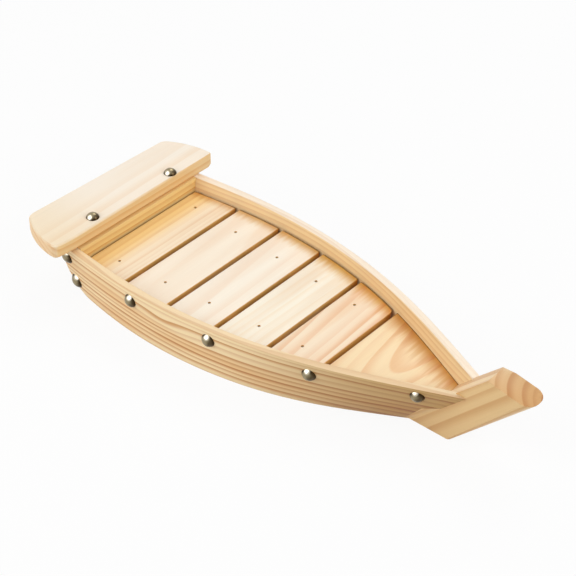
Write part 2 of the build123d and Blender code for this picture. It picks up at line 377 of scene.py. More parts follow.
@dataclass(frozen=True)
class SoakAndShade:
    """Brown streaks along the fibres from a board's sawn port end, partly a stain soaked into the end grain
    and partly painted shade from the port plank, with a painted shadow line along the port end and rear
    edge; millimetres.
    """

    reach: float
    strength: float
    tint: Colour = paint(230, 188, 98)
    gap_shadow: Colour = paint(124, 76, 30)
    gap_shadow_core: float = 0.2
    gap_shadow_width: float = 1.4
    gap_shadow_strength: float = 0.8
    rear_share: float = 0.55
    streak_length: float = 90.0
    streak_width: float = 4.0
    streak_step: Span = (0.25, 0.75)
    shortest: float = 0.7
    spread: float = 0.6

    def laid(self, node: str, at: Spot, under: Term) -> Term:
        """Lays the streaks and the painted shadow line over a colour.

        Args:
            node: The board's node.
            at: The point of the board.
            under: The colour below.

        Returns:
            The streaked colour.
        """
        nodes = under.nodes
        low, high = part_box(node)
        inside = nodes.curve(port_end(node, (low + high) / 2.0), at.across) - at.along
        place = nodes.vector(at.along / self.streak_length, at.across / self.streak_width, 0.0)
        streak = nodes.noise(place, 2.0, 0.55).smooth(*self.streak_step)
        depth = inside / (self.reach * (self.shortest + self.spread * streak))
        # Streaks from the port end: partly a stain, partly painted shade from the port plank.
        streaked = nodes.tinted((1.0 - depth.smooth(0.0, 1.0)) * self.strength, under, self.tint)
        from_rear = at.across + (high.x - low.x) * MM / 2.0
        # Painted shadow: a dark line along the port end and the rear edge, where the gaps fall into shade.
        rim = inside.smaller(from_rear / self.rear_share).smooth(self.gap_shadow_core, self.gap_shadow_width)
        return nodes.mix((1.0 - rim) * self.gap_shadow_strength, streaked, self.gap_shadow)


@dataclass(frozen=True)
class FineGrain:
    """The fibres and pores of planed pine, and how they shade, dull and roughen a face; millimetres."""

    fibre_length: float = 45.0
    fibre_width: float = 1.0 / 1.9
    fibre_mean: float = 0.35
    fibre_dulling: float = 0.14
    fibre_relief: float = 0.6
    fleck_length: float = 7.0
    fleck_width: float = 1.0 / 3.4
    fleck_step: Span = (0.66, 0.80)
    fleck_shade: float = 0.05
    fleck_relief: float = 0.4
    line_sheen: float = 0.06
    line_relief: float = 0.5
    relief_strength: float = 0.22
    relief_depth: float = 0.15

    def fibres(self, at: Spot) -> Term:
        """Gives the fine fibres, from 0 to 1."""
        return at.noise(self.fibre_length, self.fibre_width, 3.0, 0.6)

    def flecks(self, at: Spot) -> Term:
        """Gives the short resin pores, which are 1 inside."""
        return at.noise(self.fleck_length, self.fleck_width, 1.0).smooth(*self.fleck_step)

    def relief(self, fibres: Term, flecks: Term, line: Term) -> Term:
        """Gives the surface normal of the fine relief.

        Args:
            fibres: The fine fibres.
            flecks: The resin pores.
            line: The ring lines, which stand up a little.

        Returns:
            The normal.
        """
        height = fibres * self.fibre_relief + line * self.line_relief - flecks * self.fleck_relief
        inputs = {"Strength": self.relief_strength, "Distance": self.relief_depth / MM, "Height": height}
        return line.nodes.out(line.nodes.node("ShaderNodeBump", None, inputs))


@dataclass(frozen=True)
class Growth:
    """How the growth rings stray, swell and end, and the patches between them; millimetres."""

    wave_length: float = 130.0
    wave_width: float = 34.0
    years_alike: float = 3.0
    unevenness: float = 1.4
    late_start: Span = (0.25, 0.88)
    late_end: Span = (0.90, 1.0)
    weakest_line: float = 0.35
    patch_length: float = 170.0
    patch_width: float = 15.0
    patch_step: Span = (0.42, 0.70)
    band_waver: float = 3.0
    end_step: Span = (0.55, 0.92)
    edge_step: Span = (0.45, 0.90)


FINE_GRAIN = FineGrain()
GROWTH = Growth()


@dataclass(frozen=True)
class PineFinish:
    """Planed pine with growth rings round a pith line; sizes in millimetres from the piece's middle."""

    grain: Grain
    early: Colour
    late: Colour
    edge: Colour
    end: Colour
    ring: float = 5.0
    contrast: float = 0.5
    edge_contrast: float = 0.5
    pith: tuple[float, float] = (-120.0, -60.0)
    lean: float = 0.0
    wander: float = 1.5
    blush: Colour = paint(236, 196, 150)
    blush_share: float = 0.3
    fibre: float = 0.10
    roughness: float = 0.55
    swirl: Swirl | None = None
    band: Band | None = None
    fade: Fade | None = None
    soak_and_shade: SoakAndShade | None = None

    def material(self, node: str) -> bpy.types.Material:
        """Builds the finish for one piece.

        Args:
            node: The node of the piece.

        Returns:
            The material.
        """
        low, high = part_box(node)
        middle = (low + high) / 2.0
        material, nodes, shader = surface_nodes(node + "_pine")
        place = nodes.node("ShaderNodeTexCoord")
        along, across, depth = (
            nodes.dot(nodes.out(place, "Object"), axis) * MM - Vector(axis).dot(middle) * MM
            for axis in self.grain.axes
        )
        if self.grain is Grain.LENGTHWISE:
            depth = depth - nodes.curve(plan_bend(node, middle), along)
        at = Spot(along, across, depth)
        line = self._latewood(self._rings(at))
        fibres, flecks = FINE_GRAIN.fibres(at), FINE_GRAIN.flecks(at)
        colour = self._tone(at)
        if self.fade:
            colour = self.fade.laid(at, colour)
        colour = self._faces(nodes.out(place, "Normal"), colour, line)
        if self.soak_and_shade:
            colour = self.soak_and_shade.laid(node, at, colour)
        shade = 1.0 - self.fibre * (fibres - FINE_GRAIN.fibre_mean) - FINE_GRAIN.fleck_shade * flecks
        colour = nodes.mix(1.0, colour, nodes.vector(shade, shade, shade), "MULTIPLY")
        nodes.tree.links.new(colour.socket, shader.inputs["Base Color"])
        rough = self.roughness + FINE_GRAIN.fibre_dulling * (fibres - 0.5) - FINE_GRAIN.line_sheen * line
        nodes.tree.links.new(rough.socket, shader.inputs["Roughness"])
        normal = FINE_GRAIN.relief(fibres, flecks, line)
        nodes.tree.links.new(normal.socket, shader.inputs["Normal"])
        return material

    def _rings(self, at: Spot) -> Term:
        """Counts the growth rings out from the pith.

        Args:
            at: The point of the piece.

        Returns:
            The ring number, whole at the end of each year's growth.
        """
        nodes = at.along.nodes
        waves = at.noise(GROWTH.wave_length, GROWTH.wave_width, 2.0)
        side = at.across - self.pith[0]
        down = at.depth - self.pith[1] + at.along * self.lean
        radius = (side * side + down * down).root() + self.wander * (waves - 0.5) * 2.0
        if self.swirl:
            hump = at.along.bell(self.swirl.along, self.swirl.length)
            radius = radius + self.swirl.rise * hump * at.across.bell(self.swirl.across, self.swirl.width)
        years = nodes.noise(nodes.vector(radius / (self.ring * GROWTH.years_alike), 0.0, 0.0), 0.0)
        return radius / self.ring + years * GROWTH.unevenness

    def _latewood(self, rings: Term) -> Term:
        """Draws the dark line that ends each ring, each year with a strength of its own.

        Args:
            rings: The ring number.

        Returns:
            How dark the line is, from 0 to 1.
        """
        year = rings.fraction()
        line = year.smooth(*GROWTH.late_start) * (1.0 - year.smooth(*GROWTH.late_end))
        chance = rings.nodes.chance(rings.whole())
        return line * (GROWTH.weakest_line + (1.0 - GROWTH.weakest_line) * chance)

    def _tone(self, at: Spot) -> Term:
        """Lays the broad tones: pale wood, warmer patches and any yellower strip along one side.

        Args:
            at: The point of the piece.

        Returns:
            The colour between the ring lines.
        """
        nodes = at.along.nodes
        patch = at.noise(GROWTH.patch_length, GROWTH.patch_width, 2.0)
        colour = nodes.mix(patch.smooth(*GROWTH.patch_step) * self.blush_share, self.early, self.blush)
        if self.band:
            edge = at.across + GROWTH.band_waver * (patch - 0.5)
            colour = nodes.mix(edge.smooth(self.band.start, self.band.end), colour, self.band.colour)
        return colour

    def _faces(self, normal: Term, colour: Term, line: Term) -> Term:
        """Changes the colour where a cut shows edge grain or end grain, partly the grain's own colour and
        partly painted shade that keeps the sides warmer and darker than the tops, and draws the ring lines.

        Args:
            normal: The surface normal.
            colour: The colour of the face grain.
            line: How dark the ring lines are.

        Returns:
            The colour with its lines.
        """
        nodes = normal.nodes
        ends = abs(nodes.dot(normal, self.grain.axes[0])).smooth(*GROWTH.end_step)
        edges = abs(nodes.dot(normal, self.grain.axes[1])).smooth(*GROWTH.edge_step)
        # Side faces take the edge and end colours: partly the grain's own colour, partly painted shade.
        colour = nodes.mix(edges, colour, self.edge)
        colour = nodes.mix(ends, colour, self.end)
        strength = self.contrast + (self.edge_contrast - self.contrast) * edges.larger(ends)
        return nodes.tinted(line * strength, colour, self.late)


def plan_corners(node: str, middle: Vector) -> np.ndarray:
    """Measures the corners of a solid in plan.

    Args:
        node: The solid's node.
        middle: The middle of the solid, in metres.

    Returns:
        A row of X and a row of Y, in millimetres from the middle.
    """
    corners = np.array([corner.co[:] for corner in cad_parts[node].data.vertices])
    return ((corners - np.array(middle)) * MM).T[:2]


def plan_bend(node: str, middle: Vector, degree: int = 4) -> np.ndarray:
    """Fits the bend of a plank in plan.

    Args:
        node: The node of the plank.
        middle: The middle of the plank, in metres.
        degree: The highest power of the polynomial.

    Returns:
        The polynomial that gives the plank's Y for a place along X, in millimetres from the middle.
    """
    x, y = plan_corners(node, middle)
    return np.polyfit(x, y, degree)


def port_end(
    node: str, middle: Vector, rounds: int = 8, slack: float = 0.3, fewest: int = 8
) -> np.ndarray:
    """Fits the line of a board's port end, dropping what lies inside it round by round.

    Args:
        node: The node of the board.
        middle: The middle of the board, in metres.
        rounds: The most rounds.
        slack: How far inside the line a corner may lie and still count, in millimetres.
        fewest: The fewest corners that a line is fitted to.

    Returns:
        The polynomial that gives the end's Y for a place along X, in millimetres from the middle.
    """
    x, y = plan_corners(node, middle)
    for _ in range(rounds):
        curve = np.polyfit(x, y, 2)
        outer = y >= np.polyval(curve, x) - slack
        if outer.sum() < fewest:
            break
        x, y = x[outer], y[outer]
    return curve


@dataclass(frozen=True)
class MetalFinish:
    """Metal with painted light: a painted highlight on the side turned to the key lamp and camera, and
    painted dark reflection on the far side and round the skirt; millimetres.
    """

    AXES: ClassVar[tuple[Triple, ...]] = ((1.0, 0.0, 0.0), (0.0, 1.0, 0.0), (0.0, 0.0, 1.0))

    painted_highlight: Colour
    bright: Colour
    dark_reflection: Colour
    roughness: float
    dark_side_way: Triple = (0.856, 0.320, -0.405)
    dark_side_share: float = 0.8
    dark_side_step: Span = (-0.25, 0.35)
    highlight_way: Triple = (0.092, -0.722, 0.686)
    highlight_step: Span = (0.87, 1.0)
    dark_rim_step: Span = (0.55, 0.92)
    dark_rim_waver: float = 0.12
    cloud_size: float = 3.0
    cloud_waver: float = 0.5
    scuffs_per_mm: Triple = (1.6, 6.0, 6.0)
    scuff_step: Span = (0.45, 0.75)
    scuff_dulling: float = 0.1

    def material(self, name: str) -> bpy.types.Material:
        """Builds the finish.

        Args:
            name: The material's name.

        Returns:
            The material.
        """
        material, nodes, shader = surface_nodes(name)
        given = nodes.node("ShaderNodeTexCoord")
        place = nodes.out(given, "Object")
        spot = [nodes.dot(place, axis) * MM for axis in self.AXES]
        cloud = nodes.noise(nodes.vector(*(part / self.cloud_size for part in spot)), 3.0)
        scratch = (part * fine for part, fine in zip(spot, self.scuffs_per_mm))
        scuffs = nodes.noise(nodes.vector(*scratch), 2.0).smooth(*self.scuff_step)
        normal = nodes.out(given, "Normal")
        # Painted dark reflection: the side turned from the key lamp takes the dark colour, as a mirror of a
        # dark room would.
        side = nodes.dot(normal, self.dark_side_way) + self.cloud_waver * (cloud - 0.5)
        # Painted highlight: the side turned to the key lamp and the camera takes the pale colour.
        highlight_share = nodes.dot(normal, self.highlight_way).smooth(*self.highlight_step)
        out = nodes.out(nodes.node("ShaderNodeAttribute", {"attribute_name": NailTree.OUTWARD}), "Fac")
        # Painted dark reflection round the edge of the dome, where it would mirror a dark horizon.
        dark_rim = (out + self.dark_rim_waver * (cloud - 0.5)).smooth(*self.dark_rim_step)
        bright_share = (1.0 - dark_rim) * (1.0 - self.dark_side_share * side.smooth(*self.dark_side_step))
        colour = nodes.mix(highlight_share, nodes.mix(bright_share, self.dark_reflection, self.bright), self.painted_highlight)
        nodes.tree.links.new(colour.socket, shader.inputs["Base Color"])
        rough = self.roughness + self.scuff_dulling * scuffs
        nodes.tree.links.new(rough.socket, shader.inputs["Roughness"])
        shader.inputs["Metallic"].default_value = 1.0
        return material


def in_scene(name: str, data: bpy.types.ID) -> bpy.types.Object:
    """Puts a new object with its data into the scene."""
    made = bpy.data.objects.new(name, data)
    bpy.context.scene.collection.objects.link(made)
    return made


def plain_piece(source: bpy.types.Object, name: str) -> bpy.types.Object:
    """Freezes an object with its modifiers into a plain mesh at the origin.

    Args:
        source: The object, which is removed.
        name: The name of the finished piece.

    Returns:
        The finished piece.
    """
    graph = bpy.context.evaluated_depsgraph_get()
    mesh = bpy.data.meshes.new_from_object(source.evaluated_get(graph))
    source.modifiers.clear()
    bpy.data.objects.remove(source)
    return in_scene(name, mesh)


def linked_corners(work: bmesh.types.BMesh) -> list[list[bmesh.types.BMVert]]:
    """Sorts the corners of a mesh into groups that edges join.

    Args:
        work: The mesh.

    Returns:
        The corners of each group, all in the mesh's own order so that each run is alike.
    """
    work.verts.index_update()
    left = set(work.verts)
    groups = []
    while left:
        group = [left.pop()]
        for corner in group:
            near = {link.other_vert(corner) for link in corner.link_edges} & left
            left -= near
            group.extend(near)
        groups.append(sorted(group, key=lambda corner: corner.index))
    return sorted(groups, key=lambda group: group[0].index)


@dataclass(frozen=True)
class BoardForm:
    """What the stern board has beyond its solid: more thickness and a straighter front; millimetres."""

    rise: float = 1.8
    shift: tuple[float, float] = (2.6, -0.8)
    tack_shift: tuple[float, float] = (1.5, -1.8)
    setback: float = 1.6
    curve_back: float = 1.8
    curve_from: float = 62.0
    curve_run: float = 24.0
    reach: float = 5.0
    longest: float = 50.0
    cuts: int = 24
    level: float = 0.99

    @property
    def lift(self) -> Vector:
        """How far the tacks in the board move with its top, in metres."""
        return Vector((*self.tack_shift, self.rise)) / MM

    def lay(self, work: bmesh.types.BMesh, node: str) -> None:
        """Gives a merged copy of the board its form.

        Args:
            work: The copy.
            node: The board's node.
        """
        low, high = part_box(node)
        flats = [face for face in work.faces if abs(face.normal.z) > self.level]
        bmesh.ops.delete(work, geom=flats, context="FACES")
        groups = sorted(linked_corners(work), key=len)
        loose = [corner for group in groups[:-1] for corner in group]
        bmesh.ops.delete(work, geom=loose, context="VERTS")
        long = [edge for edge in work.edges if edge.calc_length() * MM > self.longest]
        ahead = max(long, key=lambda edge: edge.verts[0].co.x + edge.verts[1].co.x)
        first, last = (corner.co.copy() for corner in ahead.verts)
        skew = (last.x - first.x) / (last.y - first.y)
        bmesh.ops.subdivide_edges(work, edges=long, cuts=self.cuts, use_grid_fill=True)
        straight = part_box("transom")[1].x - self.setback / MM
        for corner in work.verts:
            corner.co += Vector((*self.shift, self.rise * (corner.co.z - low.z) / (high.z - low.z))) / MM
            front = first.x + self.shift[0] / MM + skew * (corner.co.y - first.y)
            bend = min(max((-corner.co.y * MM - self.curve_from) / self.curve_run, 0.0), 1.0)
            wanted = straight - self.curve_back * bend * bend / MM
            share = min(max(1.0 - (front - corner.co.x) * MM / self.reach, 0.0), 1.0)
            corner.co.x += share * (wanted - front)
        open_edges = [edge for edge in work.edges if edge.is_boundary]
        bmesh.ops.holes_fill(work, edges=open_edges, sides=0)
        bmesh.ops.recalc_face_normals(work, faces=work.faces)


@dataclass(frozen=True)
class PlanedEdge:
    """How the arrises of the wooden pieces are eased; sizes in metres, angles in degrees."""

    width: float = 0.00022
    steps: int = 2
    sharp: float = 24.0
    shortest: float = 0.0012
    flat: float = 0.25
    shading: float = 34.0

    def eased_copy(self, node: str, name: str, form: BoardForm | None = None) -> bpy.types.Object:
        """Copies a solid as one merged mesh and rounds its arrises.

        Args:
            node: The solid's node.
            name: The name of the copy.
            form: What the piece has beyond its solid.

        Returns:
            The eased copy, at the origin.
        """
        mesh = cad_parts[node].data.copy()
        mesh.materials.clear()
        work = bmesh.new()
        work.from_mesh(mesh)
        bmesh.ops.remove_doubles(work, verts=work.verts, dist=SAME_PLACE)
        flat = math.radians(self.flat)
        bmesh.ops.dissolve_limit(work, angle_limit=flat, verts=work.verts, edges=work.edges)
        if form:
            form.lay(work, node)
        weights = work.edges.layers.float.new("bevel_weight_edge")
        for edge in work.edges:
            bent = edge.calc_face_angle(0.0) > math.radians(self.sharp)
            edge[weights] = 1.0 if bent and edge.calc_length() > self.shortest else 0.0
        work.to_mesh(mesh)
        work.free()
        for old in ("custom_normal", "sharp_edge", "sharp_face"):
            if old in mesh.attributes:
                mesh.attributes.remove(mesh.attributes[old])
        source = in_scene(name + "_work", mesh)
        bevel = source.modifiers.new("eased arrises", "BEVEL")
        bevel.limit_method = "WEIGHT"
        bevel.width = self.width
        bevel.segments = self.steps
        piece = plain_piece(source, name)
        piece.data.polygons.foreach_set("use_smooth", [True] * len(piece.data.polygons))
        piece.data.set_sharp_from_angle(angle=math.radians(self.shading))
        return piece


EDGE = PlanedEdge()
BOARD_FORM = BoardForm()


@dataclass
class WoodenPart:
    """One pine piece: its node, its body, its slot and its finish."""

    node: str
    slot: str
    finish: PineFinish
    body: str = "hull"
    form: BoardForm | None = None

    def build(self) -> bpy.types.Object:
        """Makes the eased copy, dresses it and lets it stand for its node.

        Returns:
            The finished piece.
        """
        piece = EDGE.eased_copy(self.node, self.node + "_planed", self.form)
        piece.data.materials.append(self.finish.material(self.node))
        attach(piece, self.body)
        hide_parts(self.node)
        return piece


@dataclass(frozen=True)
class Nail:
    """One nail as its solid gives it: where the head sits, which way it faces and its sizes, in metres."""

    RIM_SHARE: ClassVar[float] = 0.98
    UNDER_HEAD: ClassVar[float] = 0.0005

    seat: Vector
    facing: Vector
    head_radius: float
    head_height: float
    shank_radius: float
    shank_length: float

    @classmethod
    def measured(cls, points: np.ndarray) -> "Nail":
        """Reads a nail from the corners of its solid.

        Args:
            points: The corners, one a row.

        Returns:
            The nail.
        """
        middle = (points.min(0) + points.max(0)) / 2.0
        spread, axes = np.linalg.eigh(np.cov((points - points.mean(0)).T))
        odd = 2 if spread[2] - spread[1] > spread[1] - spread[0] else 0
        axis = axes[:, odd]
        reach = (points - middle) @ axis
        away = np.linalg.norm(points - middle - np.outer(reach, axis), axis=1)
        outermost = away > away.max() * cls.RIM_SHARE
        if reach[outermost].mean() < (reach.min() + reach.max()) / 2.0:
            axis, reach = -axis, -reach
        rim = reach[outermost].min()
        shank = away[reach < rim - cls.UNDER_HEAD]
        return cls(
            seat=Vector(middle + axis * rim),
            facing=Vector(axis),
            head_radius=float(away.max()),
            head_height=float(reach.max() - rim),
            shank_radius=float(shank.max()) / math.sqrt(2.0),
            shank_length=float(rim - reach.min()),
        )


def solids_of(node: str) -> Iterator[np.ndarray]:
    """Goes through the separate solids of a node.

    Args:
        node: The node.

    Yields:
        The corners of each solid, one a row.
    """
    work = bmesh.new()
    work.from_mesh(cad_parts[node].data)
    bmesh.ops.remove_doubles(work, verts=work.verts, dist=SAME_PLACE)
    for group in linked_corners(work):
        yield np.array([corner.co[:] for corner in group])
    work.free()


class NailTree:
    """The geometry tree that turns one nail and sets it at every marked point."""

    DOME_END = 0.60
    UNDER_END = 0.75
    SHANK_END = 0.95
    ROWS = 20
    SEAM = 2e-6
    OUTWARD = "outward"
    FACING = "facing"
    SHARP = math.radians(40.0)
    SIZES = ("Head Radius", "Head Height", "Shank Radius", "Shank Length")

    def __init__(self) -> None:
        """Builds the tree."""
        self.tree = bpy.data.node_groups.new("turned nails", "GeometryNodeTree")
        self.tree.is_modifier = True
        face = self.tree.interface
        face.new_socket("Points", in_out="INPUT", socket_type="NodeSocketGeometry")
        self.sockets = {
            name: face.new_socket(name, in_out="INPUT", socket_type="NodeSocketFloat").identifier
            for name in self.SIZES
        }
        sides = face.new_socket("Sides", in_out="INPUT", socket_type="NodeSocketInt")
        finish = face.new_socket("Finish", in_out="INPUT", socket_type="NodeSocketMaterial")
        self.sockets["Sides"] = sides.identifier
        self.sockets["Finish"] = finish.identifier
        face.new_socket("Nails", in_out="OUTPUT", socket_type="NodeSocketGeometry")
        self._fill(Nodes(self.tree))

    def _fill(self, nodes: Nodes) -> None:
        """Adds the nodes: a turned profile, set on the points, made real and dressed.

        Args:
            nodes: The tree's nodes.
        """
        given = nodes.node("NodeGroupInput")
        sizes = {name: nodes.out(given, name) for name in ("Points", *self.SIZES, "Sides", "Finish")}
        grid = nodes.node(
            "GeometryNodeMeshGrid",
            None,
            {
                "Size X": 1.0,
                "Size Y": 1.0,
                "Vertices X": sizes["Sides"] + 1.0,
                "Vertices Y": self.ROWS + 1,
            },
        )
        spot = nodes.out(nodes.node("GeometryNodeInputPosition"))
        turn = (nodes.dot(spot, (1.0, 0.0, 0.0)) + 0.5) * -math.tau
        run = nodes.dot(spot, (0.0, 1.0, 0.0)) + 0.5
        marked = nodes.node(
            "GeometryNodeStoreNamedAttribute",
            {"data_type": "FLOAT", "domain": "POINT"},
            {0: nodes.out(grid), "Name": self.OUTWARD, "Value": (run / self.DOME_END).clamped()},
        )
        out, height = self._profile(nodes, run, sizes)
        turned = nodes.vector(out * nodes.math("COSINE", turn), out * nodes.math("SINE", turn), height)
        shape = nodes.node("GeometryNodeSetPosition", None, {0: nodes.out(marked), "Position": turned})
        closed = nodes.node(
            "GeometryNodeMergeByDistance", None, {0: nodes.out(shape), "Distance": self.SEAM}
        )
        bend = nodes.out(nodes.node("GeometryNodeInputMeshEdgeAngle"))
        smooth = nodes.node("GeometryNodeSetShadeSmooth", {"domain": "FACE"}, {0: nodes.out(closed)})
        crisp = nodes.node(
            "GeometryNodeSetShadeSmooth",
            {"domain": "EDGE"},
            {0: nodes.out(smooth), "Shade Smooth": nodes.math("LESS_THAN", bend, self.SHARP)},
        )
        facing = nodes.node(
            "GeometryNodeInputNamedAttribute", {"data_type": "FLOAT_VECTOR"}, {"Name": self.FACING}
        )
        aim = nodes.node("FunctionNodeAlignRotationToVector", {"axis": "Z"}, {"Vector": nodes.out(facing)})
        placed = nodes.node(
            "GeometryNodeInstanceOnPoints",
            None,
            {"Points": sizes["Points"], "Instance": nodes.out(crisp), "Rotation": nodes.out(aim)},
        )
        real = nodes.node("GeometryNodeRealizeInstances", None, {0: nodes.out(placed)})
        dressed = nodes.node(
            "GeometryNodeSetMaterial", None, {0: nodes.out(real), "Material": sizes["Finish"]}
        )
        nodes.node("NodeGroupOutput", None, {0: nodes.out(dressed)})

    def _profile(self, nodes: Nodes, run: Term, sizes: Mapping[str, Term]) -> tuple[Term, Term]:
        """Works out the nail's outline from the crown of its head to its point.

        Args:
            nodes: The tree's nodes.
            run: The share of the way from crown to point.
            sizes: The nail's sizes.

        Returns:
            The distance from the axis and the height above the seat.
        """
        head, crown, shank, length = (sizes[name] for name in self.SIZES)
        ball = (head * head + crown * crown) / (2.0 * crown)
        swing = nodes.math("ARCCOSINE", (ball - crown) / ball)
        dome = (run / self.DOME_END).clamped()
        under = ((run - self.DOME_END) / (self.UNDER_END - self.DOME_END)).clamped()
        down = ((run - self.UNDER_END) / (self.SHANK_END - self.UNDER_END)).clamped()
        point = ((run - self.SHANK_END) / (1.0 - self.SHANK_END)).clamped()
        angle = swing * dome
        out = ball * nodes.math("SINE", angle) * (1.0 - under) + shank * under * (1.0 - point)
        taper = shank * 2.0
        height = ball * nodes.math("COSINE", angle) - (ball - crown)
        return out, height - (length - taper) * down - taper * point


@dataclass
class NailSet:
    """The nails of one node, turned anew in metal where their solids stand, all of one size."""

    node: str
    slot: str
    material: bpy.types.Material
    tree: NailTree
    body: str = "hull"
    sides: int = 32
    lift: Vector = field(default_factory=Vector)
    head_share: float = 1.0

    def build(self) -> bpy.types.Object:
        """Sets the turned nails on their seats and lets them stand for their node.

        Returns:
            The finished piece.
        """
        nails = [Nail.measured(points) for points in solids_of(self.node)]
        marks = bpy.data.meshes.new(self.node + "_seats")
        marks.from_pydata([nail.seat + self.lift for nail in nails], [], [])
        facing = marks.attributes.new(NailTree.FACING, "FLOAT_VECTOR", "POINT")
        facing.data.foreach_set("vector", [value for nail in nails for value in nail.facing])
        source = in_scene(self.node + "_work", marks)
        turned = source.modifiers.new("turned nails", "NODES")
        turned.node_group = self.tree.tree
        largest = max(nails, key=lambda nail: nail.head_radius)
        head = largest.head_radius * self.head_share
        sizes = (head, largest.head_height * self.head_share, largest.shank_radius, largest.shank_length)
        for name, size in zip(NailTree.SIZES, sizes):
            turned[self.tree.sockets[name]] = size
        turned[self.tree.sockets["Sides"]] = self.sides
        turned[self.tree.sockets["Finish"]] = self.material
        piece = plain_piece(source, self.node + "_turned")
        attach(piece, self.body)
        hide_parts(self.node)
        return piece


SAWN_END = paint(222, 176, 120)
PORT_PINE = PineFinish(
    grain=Grain.LENGTHWISE,
    early=paint(255, 230, 185),
    late=paint(212, 168, 118),
    edge=paint(255, 238, 215),
    end=SAWN_END,
    ring=3.4,
    contrast=0.4,
    edge_contrast=0.25,
    pith=(-80.0, -75.0),
    wander=1.2,
    blush=paint(246, 206, 150),
    blush_share=0.4,
    # Painted light: the stern end stays lighter than the rest, against the shade that the stern board casts
    # there.
    fade=Fade(-170.0, -20.0, paint(250, 243, 230)),
)
STARBOARD_PINE = PineFinish(
    grain=Grain.LENGTHWISE,
    early=paint(255, 229, 182),
    late=paint(205, 156, 100),
    edge=paint(247, 220, 177),
    end=SAWN_END,
    ring=4.5,
    contrast=1.0,
    edge_contrast=0.6,
    pith=(-71.0, -24.0),
    wander=1.8,
    blush=paint(236, 184, 116),
    blush_share=0.6,
    swirl=Swirl(along=-58.0, across=8.0, length=24.0, width=6.0, rise=4.0),
    fade=Fade(-25.0, 150.0, paint(202, 182, 144)),
)
BOARD_PINE = PineFinish(
    grain=Grain.CROSSWISE,
    early=paint(253, 241, 224),
    late=paint(242, 220, 192),
    edge=paint(250, 214, 156),
    end=paint(242, 208, 162),
    ring=5.0,
    contrast=0.35,
    edge_contrast=0.8,
    pith=(-20.0, -70.0),
    lean=0.008,
    blush=paint(251, 230, 204),
    fade=Fade(0.0, -85.0, paint(250, 243, 228)),
)
TRANSOM_PINE = PineFinish(
    grain=Grain.CROSSWISE,
    early=paint(244, 206, 140),
    late=paint(220, 175, 120),
    edge=paint(253, 220, 150),
    end=SAWN_END,
    ring=4.6,
    contrast=0.6,
    edge_contrast=0.7,
    pith=(60.0, -90.0),
)
STEM_PINE = PineFinish(
    grain=Grain.RAKED,
    early=paint(236, 199, 142),
    late=paint(214, 172, 118),
    edge=paint(247, 220, 180),
    end=paint(214, 164, 106),
    ring=6.5,
    contrast=0.55,
    edge_contrast=0.8,
    pith=(-34.0, 14.0),
    wander=1.0,
    blush=paint(232, 194, 136),
)
# Slat sides and ends: pine's edge colour with painted shade, warmer and darker than the tops.
SLAT_SIDE_AND_SHADE = paint(246, 192, 108)
PINK = paint(247, 217, 186)


def deck_pine(early: Colour, late: Colour, soak_and_shade: SoakAndShade, **more: Any) -> PineFinish:
    """Makes the finish of one board of the deck.

    Args:
        early: The pale wood between the ring lines.
        late: The tint of the ring lines.
        soak_and_shade: How the port end is stained and shaded: a soak stain, painted shade and a painted
            shadow line.
        more: Other fields of the finish.

    Returns:
        The finish, with the fibres across the tray and the deck's side colour, partly painted shade.
    """
    return PineFinish(Grain.CROSSWISE, early, late, SLAT_SIDE_AND_SHADE, SLAT_SIDE_AND_SHADE, soak_and_shade=soak_and_shade, **more)


SLAT_PINES = (
    deck_pine(
        early=paint(252, 234, 206),
        late=paint(232, 200, 160),
        ring=4.2,
        contrast=0.4,
        pith=(-60.0, -40.0),
        lean=0.01,
        band=Band(8.0, -12.0, paint(250, 214, 146)),
        soak_and_shade=SoakAndShade(10.0, 0.65),
    ),
    deck_pine(
        early=paint(253, 239, 218),
        late=paint(240, 212, 184),
        ring=7.5,
        contrast=0.35,
        pith=(30.0, -80.0),
        lean=-0.05,
        blush=PINK,
        soak_and_shade=SoakAndShade(12.0, 0.8),
    ),
    deck_pine(
        early=paint(254, 243, 225),
        late=paint(240, 208, 180),
        ring=6.5,
        contrast=0.3,
        pith=(-24.0, -60.0),
        lean=0.02,
        blush=PINK,
        soak_and_shade=SoakAndShade(13.0, 0.9),
    ),
    deck_pine(
        early=paint(255, 245, 225),
        late=paint(240, 212, 165),
        ring=4.6,
        contrast=0.24,
        pith=(44.0, -50.0),
        lean=0.02,
        soak_and_shade=SoakAndShade(15.0, 1.0),
    ),
    deck_pine(
        early=paint(252, 232, 204),
        late=paint(236, 186, 132),
        ring=6.0,
        contrast=0.6,
        pith=(-46.0, -50.0),
        lean=0.06,
        blush=paint(246, 206, 164),
        blush_share=0.6,
        soak_and_shade=SoakAndShade(17.0, 1.0),
    ),
)
BOW_PINE = deck_pine(
    early=paint(252, 227, 184),
    late=paint(230, 172, 112),
    ring=9.0,
    contrast=0.45,
    pith=(-4.0, -16.0),
    lean=-0.20,
    wander=2.0,
    blush=paint(246, 208, 156),
    soak_and_shade=SoakAndShade(22.0, 1.0, paint(214, 168, 92)),
)


@dataclass
class Hull:
    """The side planks, the stem and what closes the bow and carries the grating."""

    cross_pieces: tuple[str, ...] = ("transom_ledge", "bearer_aft", "bearer_middle", "bow_bearer")

    def parts(self) -> Iterator[WoodenPart]:
        """Goes through the hull's pieces.

        Yields:
            Each piece, ready to build.
        """
        yield WoodenPart("port_plank", "plank_pine", PORT_PINE)
        yield WoodenPart("starboard_plank", "plank_pine", STARBOARD_PINE)
        yield WoodenPart("transom", "stern_pine", TRANSOM_PINE)
        yield WoodenPart("stern_board", "stern_pine", BOARD_PINE, form=BOARD_FORM)
        yield WoodenPart("stem", "stem_pine", STEM_PINE)
        yield WoodenPart("bow_deck", "deck_pine", BOW_PINE)
        for node in self.cross_pieces:
            yield WoodenPart(node, "frame_pine", TRANSOM_PINE)


